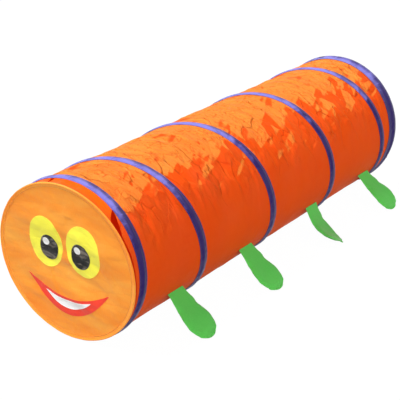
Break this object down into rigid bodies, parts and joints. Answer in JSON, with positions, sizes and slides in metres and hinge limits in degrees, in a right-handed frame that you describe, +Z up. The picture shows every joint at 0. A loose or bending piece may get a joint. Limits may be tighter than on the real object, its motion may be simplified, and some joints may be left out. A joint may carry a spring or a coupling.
{
  "type": "kids play tunnel",
  "caption": "Collapsible cloth crawl tunnel on a sprung wire coil, with a smiling face flap hung on the front hoop and flat padded legs sewn along both sides.",
  "frame": {"origin": "on the floor, under the middle of the whole toy", "axes": "+X along the tunnel towards the open rear end, +Z up; the face flap looks along -X, and its left is -Y"},
  "size_m": [1.5968, 0.6539, 0.4805],
  "materials": {
    "orange_cloth": "thin woven polyester, slight sheen",
    "flap_cloth": "thin woven polyester, slight sheen",
    "purple_tape": "satin binding tape",
    "green_cloth": "padded woven polyester",
    "yellow_patch": "smooth satin patch",
    "black_patch": "glossy black patch",
    "white_patch": "smooth white patch",
    "red_patch": "smooth satin patch",
    "spring_steel": "bare spring steel wire",
    "crimp_brass": "crimped sleeve"
  },
  "bodies": {
    "front_hoop": {"front_hoop_tape": "purple_tape", "front_hoop_wire": "spring_steel", "front_wire_sleeve": "crimp_brass", "coil_tape": "purple_tape", "coil_wire": "spring_steel"},
    "rear_hoop": {"rear_hoop_tape": "purple_tape", "rear_hoop_wire": "spring_steel", "rear_wire_sleeve": "crimp_brass"},
    "face_flap": {"face_panel": "flap_cloth", "face_hem": "flap_cloth", "face_hoop_wire": "spring_steel", "face_wire_sleeve": "crimp_brass", "left_flap_strip": "orange_cloth", "right_flap_strip": "orange_cloth", "left_eye": "yellow_patch", "left_pupil": "black_patch", "left_glint": "white_patch", "right_eye": "yellow_patch", "right_pupil": "black_patch", "right_glint": "white_patch", "mouth": "red_patch", "teeth": "white_patch"},
    "section_1": {"cover_panel_1": "orange_cloth"},
    "section_2": {"cover_panel_2": "orange_cloth"},
    "section_3": {"cover_panel_3": "orange_cloth"},
    "section_4": {"cover_panel_4": "orange_cloth"},
    "left_leg_1_paddle": {"left_leg_1": "green_cloth"},
    "left_leg_2_paddle": {"left_leg_2": "green_cloth"},
    "left_leg_3_paddle": {"left_leg_3": "green_cloth"},
    "left_leg_4_paddle": {"left_leg_4": "green_cloth"},
    "right_leg_1_paddle": {"right_leg_1": "green_cloth"},
    "right_leg_2_paddle": {"right_leg_2": "green_cloth"},
    "right_leg_3_paddle": {"right_leg_3": "green_cloth"},
    "right_leg_4_paddle": {"right_leg_4": "green_cloth"}
  },
  "joints": [
    {"name": "collapse", "type": "slide", "parent": "front_hoop", "child": "rear_hoop", "axis": [-1, 0, 0], "range_m": [0, 1.44], "stiffness_N_per_m": 20, "springref_m": -0.15, "deforming": ["coil_tape", "coil_wire", "cover_panel_1", "cover_panel_2", "cover_panel_3", "cover_panel_4", "left_leg_1", "left_leg_2", "left_leg_3", "left_leg_4", "right_leg_1", "right_leg_2", "right_leg_3", "right_leg_4"]},
    {"name": "section_1_gather", "type": "slide", "parent": "front_hoop", "child": "section_1", "axis": [-1, 0, 0], "range_m": [0, 0.1803]},
    {"name": "section_2_gather", "type": "slide", "parent": "front_hoop", "child": "section_2", "axis": [-1, 0, 0], "range_m": [0, 0.5439]},
    {"name": "section_3_gather", "type": "slide", "parent": "front_hoop", "child": "section_3", "axis": [-1, 0, 0], "range_m": [0, 0.9104]},
    {"name": "section_4_gather", "type": "slide", "parent": "front_hoop", "child": "section_4", "axis": [-1, 0, 0], "range_m": [0, 1.2668]},
    {"name": "flap_swing", "type": "hinge", "parent": "front_hoop", "child": "face_flap", "pos_m": [-0.7553, 0, 0.48142], "axis": [0, 1, 0], "range_deg": [0, 60], "deforming": ["left_flap_strip", "right_flap_strip"]},
    {"name": "left_leg_1_swing", "type": "hinge", "parent": "section_1", "child": "left_leg_1_paddle", "pos_m": [-0.54598, -0.20404, 0.12245], "axis": [-1, 0, 0], "range_deg": [0, 100]},
    {"name": "left_leg_2_swing", "type": "hinge", "parent": "section_2", "child": "left_leg_2_paddle", "pos_m": [-0.17374, -0.20404, 0.12245], "axis": [-1, 0, 0], "range_deg": [0, 100]},
    {"name": "left_leg_3_swing", "type": "hinge", "parent": "section_3", "child": "left_leg_3_paddle", "pos_m": [0.24011, -0.20404, 0.12245], "axis": [-1, 0, 0], "range_deg": [0, 100]},
    {"name": "left_leg_4_swing", "type": "hinge", "parent": "section_4", "child": "left_leg_4_paddle", "pos_m": [0.61547, -0.20404, 0.12245], "axis": [-1, 0, 0], "range_deg": [0, 100]},
    {"name": "right_leg_1_swing", "type": "hinge", "parent": "section_1", "child": "right_leg_1_paddle", "pos_m": [-0.54598, 0.20404, 0.12245], "axis": [1, 0, 0], "range_deg": [0, 100]},
    {"name": "right_leg_2_swing", "type": "hinge", "parent": "section_2", "child": "right_leg_2_paddle", "pos_m": [-0.17374, 0.20404, 0.12245], "axis": [1, 0, 0], "range_deg": [0, 100]},
    {"name": "right_leg_3_swing", "type": "hinge", "parent": "section_3", "child": "right_leg_3_paddle", "pos_m": [0.24011, 0.20404, 0.12245], "axis": [1, 0, 0], "range_deg": [0, 100]},
    {"name": "right_leg_4_swing", "type": "hinge", "parent": "section_4", "child": "right_leg_4_paddle", "pos_m": [0.61547, 0.20404, 0.12245], "axis": [1, 0, 0], "range_deg": [0, 100]}
  ],
  "couplings": [
    {"joint": "section_1_gather", "follows": "collapse", "ratio": 0.1245},
    {"joint": "section_2_gather", "follows": "collapse", "ratio": 0.377},
    {"joint": "section_3_gather", "follows": "collapse", "ratio": 0.6315},
    {"joint": "section_4_gather", "follows": "collapse", "ratio": 0.879}
  ]
}
